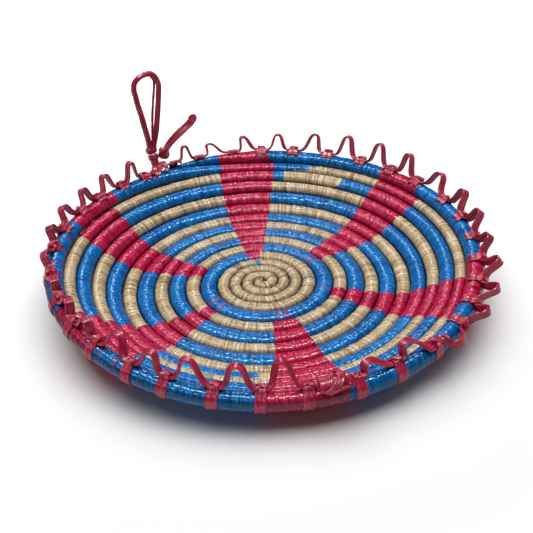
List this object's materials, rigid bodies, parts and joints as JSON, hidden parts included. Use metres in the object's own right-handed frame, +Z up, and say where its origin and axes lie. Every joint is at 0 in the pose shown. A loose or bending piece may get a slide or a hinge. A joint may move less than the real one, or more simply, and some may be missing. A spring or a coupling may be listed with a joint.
{
  "type": "woven serving basket",
  "caption": "Shallow round coiled basket with coloured wraps, a looped raffia edging lashed to its rim and a hanging loop.",
  "frame": {"origin": "on the table, under the centre of the basket's whole outline seen from above", "axes": "+Z up, +X to the right in the picture, +Y away from the viewer"},
  "size_m": [0.3104, 0.3084, 0.1165],
  "materials": {
    "tan_wrap": "satin natural raffia wound over a grass core",
    "blue_wrap": "glossy blue raffia wound over a grass core, with magenta wedges",
    "red_raffia": "glossy crimson raffia strip"
  },
  "bodies": {
    "basket": {"centre_coil": "tan_wrap", "turn_01_blue": "blue_wrap", "turn_02_tan": "tan_wrap", "turn_03_blue": "blue_wrap", "turn_04_tan": "tan_wrap", "turn_05_blue": "blue_wrap", "turn_06_tan": "tan_wrap", "turn_07_blue": "blue_wrap", "turn_08_tan": "tan_wrap", "turn_09_blue": "blue_wrap", "turn_10_tan": "tan_wrap", "rim_coil": "blue_wrap", "rim_tie_01": "red_raffia", "rim_tie_02": "red_raffia", "rim_tie_03": "red_raffia", "rim_tie_04": "red_raffia", "rim_tie_05": "red_raffia", "rim_tie_06": "red_raffia", "rim_tie_07": "red_raffia", "rim_tie_08": "red_raffia", "rim_tie_09": "red_raffia", "rim_tie_10": "red_raffia", "rim_tie_11": "red_raffia", "rim_tie_12": "red_raffia", "rim_tie_13": "red_raffia", "rim_tie_14": "red_raffia", "rim_tie_15": "red_raffia", "rim_tie_16": "red_raffia", "rim_tie_17": "red_raffia", "rim_tie_18": "red_raffia", "rim_tie_19": "red_raffia", "rim_tie_20": "red_raffia", "rim_tie_21": "red_raffia", "rim_tie_22": "red_raffia", "rim_tie_23": "red_raffia", "rim_tie_24": "red_raffia", "rim_tie_25": "red_raffia", "rim_tie_26": "red_raffia", "rim_tie_27": "red_raffia", "rim_tie_28": "red_raffia", "rim_tie_29": "red_raffia", "rim_tie_30": "red_raffia", "rim_tie_31": "red_raffia", "rim_tie_32": "red_raffia", "rim_tie_33": "red_raffia", "rim_tie_34": "red_raffia", "edging_strip": "red_raffia", "edging_end_knot": "red_raffia", "hanger_band": "red_raffia", "hanger_knot": "red_raffia", "ball_knot": "red_raffia", "knot_tail": "red_raffia"},
    "hanging_loop": {"hanging_loop": "red_raffia"}
  },
  "joints": [
    {"name": "hanging_loop_swing", "type": "hinge", "parent": "basket", "child": "hanging_loop", "pos_m": [-0.0891, 0.12384, 0.0481], "axis": [-0.8339, -0.5519, 0], "range_deg": [-60, 90]}
  ]
}
